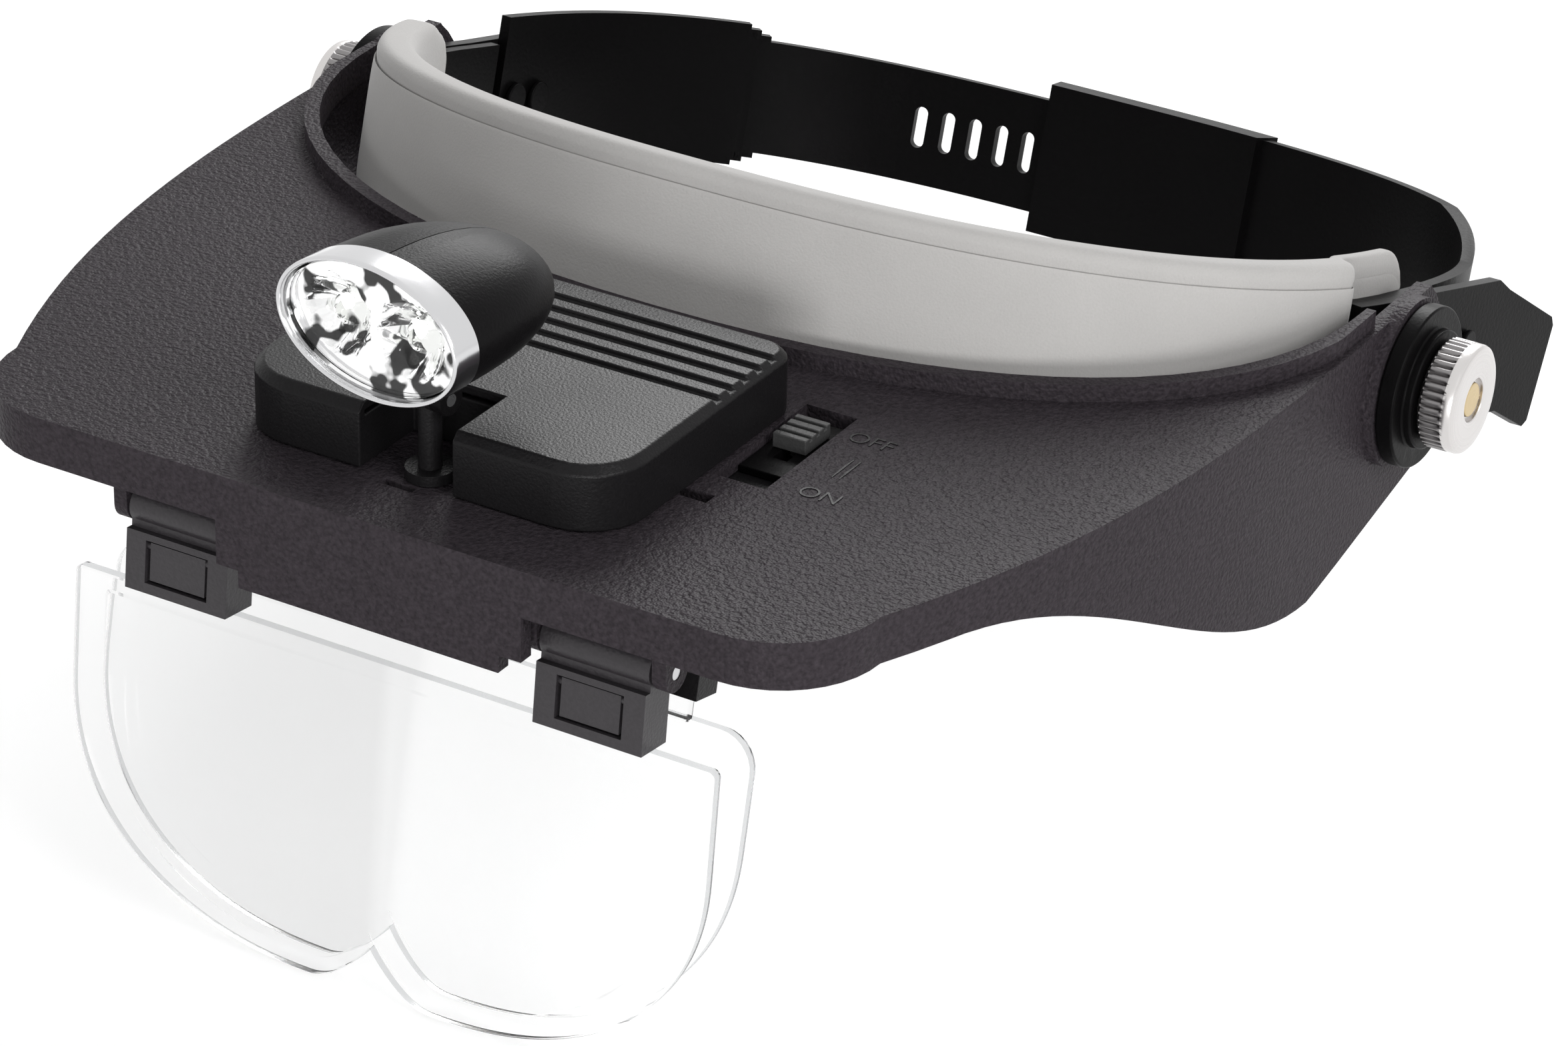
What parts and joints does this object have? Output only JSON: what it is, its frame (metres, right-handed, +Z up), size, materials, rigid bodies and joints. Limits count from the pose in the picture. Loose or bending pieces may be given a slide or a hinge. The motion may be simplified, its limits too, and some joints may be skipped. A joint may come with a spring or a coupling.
{
  "type": "headband magnifier",
  "caption": "Head-worn magnifier: a tilting visor carries two flip-up lens plates, a swivel lamp and a battery box, on a padded adjustable headband.",
  "frame": {"origin": "middle of the head opening, level with the middle of the headband's straps", "axes": "+Z up, +Y to the back of the head, +X to the right as seen from the front; the visor's top is level and the headband slopes 16 degrees down to the back"},
  "size_m": [0.1948, 0.2161, 0.1072],
  "materials": {
    "visor_black": "fine pebbled moulding",
    "satin_black": "smooth satin moulding",
    "strap_black": "smooth flexible strap",
    "pad_grey": "soft matt foam pad",
    "bright_metal": "bright turned metal",
    "chrome": "bright plated",
    "brass": "turned",
    "clear_lens": "clear polished plastic",
    "clear_bulb": "clear domed",
    "cell": "plain wrapped",
    "board": "flat board",
    "knob_grey": "satin"
  },
  "bodies": {
    "headband": {"brow_band": "strap_black", "brow_pad": "pad_grey", "temple_arm_left": "strap_black", "temple_arm_right": "strap_black", "strap_slotted": "strap_black", "strap_sleeved": "strap_black", "strap_peg": "strap_black", "arm_rivets": "strap_black", "temple_screw_left": "brass", "temple_screw_right": "brass"},
    "visor": {"visor_shell": "visor_black", "temple_washer_left": "satin_black", "temple_washer_right": "satin_black", "front_hinge_pins": "bright_metal", "rear_hinge_pins": "bright_metal", "battery_tray": "satin_black", "battery_cells": "cell", "contact_springs": "bright_metal", "contact_plates": "bright_metal", "tray_screws": "bright_metal", "switch_body": "bright_metal"},
    "nut_left": {"thumb_nut_left": "bright_metal"},
    "nut_right": {"thumb_nut_right": "bright_metal"},
    "front_lens": {"front_lens_plate": "clear_lens", "clip_frame_left": "satin_black", "clip_frame_right": "satin_black"},
    "latch_left": {"latch_tab_left": "satin_black"},
    "latch_right": {"latch_tab_right": "satin_black"},
    "rear_lens": {"rear_lens_plate": "clear_lens", "rear_lens_holder": "satin_black"},
    "cover": {"battery_cover": "satin_black"},
    "switch": {"switch_knob": "knob_grey"},
    "post": {"lamp_post": "satin_black", "lamp_post_ring": "bright_metal"},
    "lamp": {"lamp_tilt_pin": "bright_metal", "lamp_shell_left": "satin_black", "lamp_shell_right": "satin_black", "lamp_bezel": "chrome", "lamp_window": "clear_lens", "lamp_reflector": "chrome", "lamp_bulbs": "clear_bulb", "lamp_board": "board"}
  },
  "joints": [
    {"name": "visor_tilt", "type": "hinge", "parent": "headband", "child": "visor", "pos_m": [0, -0.01132, 0.00044], "axis": [-1, 0, 0], "range_deg": [-10, 60]},
    {"name": "nut_turn_left", "type": "hinge", "parent": "headband", "child": "nut_left", "pos_m": [-0.095, -0.01132, 0.00044], "axis": [-1, 0, 0], "range_deg": [0, 360]},
    {"name": "nut_turn_right", "type": "hinge", "parent": "headband", "child": "nut_right", "pos_m": [0.095, -0.01132, 0.00044], "axis": [1, 0, 0], "range_deg": [0, 360]},
    {"name": "front_lens_flip", "type": "hinge", "parent": "visor", "child": "front_lens", "pos_m": [0, -0.1366, -0.00011], "axis": [-1, 0, 0], "range_deg": [0, 84]},
    {"name": "rear_lens_flip", "type": "hinge", "parent": "visor", "child": "rear_lens", "pos_m": [0, -0.126, -0.00011], "axis": [1, 0, 0], "range_deg": [0, 92]},
    {"name": "latch_left_pull", "type": "hinge", "parent": "front_lens", "child": "latch_left", "pos_m": [-0.0327, -0.13932, -0.00474], "axis": [-1, 0, 0], "range_deg": [0, 12], "stiffness_Nm_per_rad": 0.01},
    {"name": "latch_right_pull", "type": "hinge", "parent": "front_lens", "child": "latch_right", "pos_m": [0.0327, -0.13932, -0.00474], "axis": [-1, 0, 0], "range_deg": [0, 12], "stiffness_Nm_per_rad": 0.01},
    {"name": "cover_slide", "type": "slide", "parent": "visor", "child": "cover", "axis": [0, 1, 0], "range_m": [0, 0.004]},
    {"name": "switch_slide", "type": "slide", "parent": "visor", "child": "switch", "axis": [0, -1, 0], "range_m": [0, 0.004]},
    {"name": "lamp_swivel", "type": "hinge", "parent": "visor", "child": "post", "pos_m": [0, -0.128, 0.01169], "axis": [0, 0, 1], "range_deg": [-45, 45]},
    {"name": "lamp_tilt", "type": "hinge", "parent": "post", "child": "lamp", "pos_m": [0, -0.128, 0.02409], "axis": [0.9925, -0.1219, 0], "range_deg": [-12, 20]}
  ]
}
